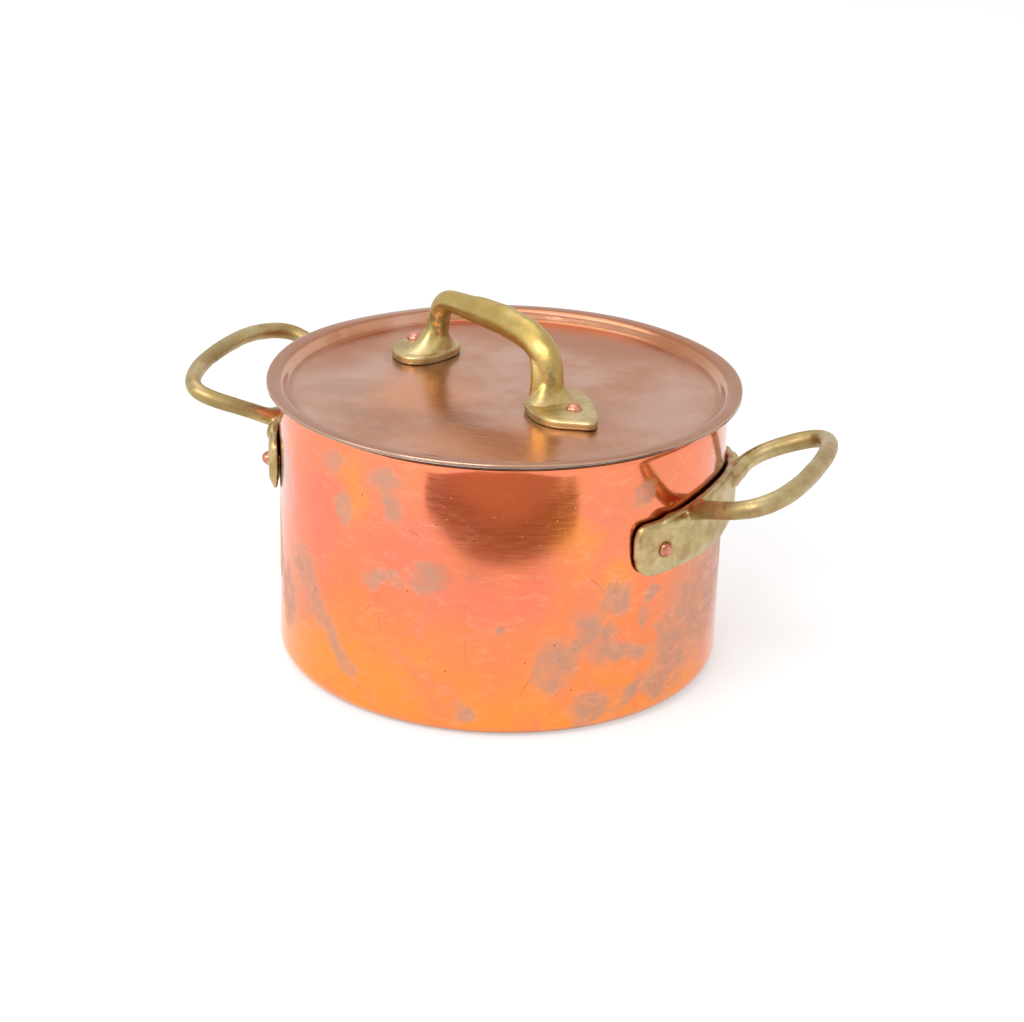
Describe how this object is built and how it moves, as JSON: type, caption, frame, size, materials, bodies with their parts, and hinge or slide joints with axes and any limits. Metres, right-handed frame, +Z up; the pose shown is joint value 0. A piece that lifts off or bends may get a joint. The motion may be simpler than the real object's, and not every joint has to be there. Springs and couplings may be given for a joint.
{
  "type": "lidded stew pot",
  "caption": "Straight-sided tinned copper stew pot with cast brass loop handles and a sunk copper lid that lifts off by a brass bow handle.",
  "frame": {"origin": "centre of the pot's flat underside", "axes": "+Z up along the pot's axis, +X through the right side handle, +Y to the rear"},
  "size_m": [0.2996, 0.2116, 0.1618],
  "materials": {
    "pot_copper": "polished copper, worn patina blotches",
    "lid_copper": "satin tarnished copper",
    "rivet_copper": "hammered copper",
    "cast_brass": "cast brass, aged",
    "tin": "hand-wiped tin"
  },
  "bodies": {
    "pot": {"pot_body": "pot_copper", "pot_tin_lining": "tin", "right_handle": "cast_brass", "left_handle": "cast_brass", "right_front_rivet": "rivet_copper", "right_rear_rivet": "rivet_copper", "left_front_rivet": "rivet_copper", "left_rear_rivet": "rivet_copper"},
    "lid": {"lid_plate": "lid_copper", "lid_tin_lining": "tin", "lid_handle": "cast_brass", "lid_rivet_right": "rivet_copper", "lid_rivet_left": "rivet_copper"}
  },
  "joints": [
    {"name": "lid_lift", "type": "slide", "parent": "pot", "child": "lid", "axis": [0, 0, 1], "range_m": [0, 0.15]}
  ]
}
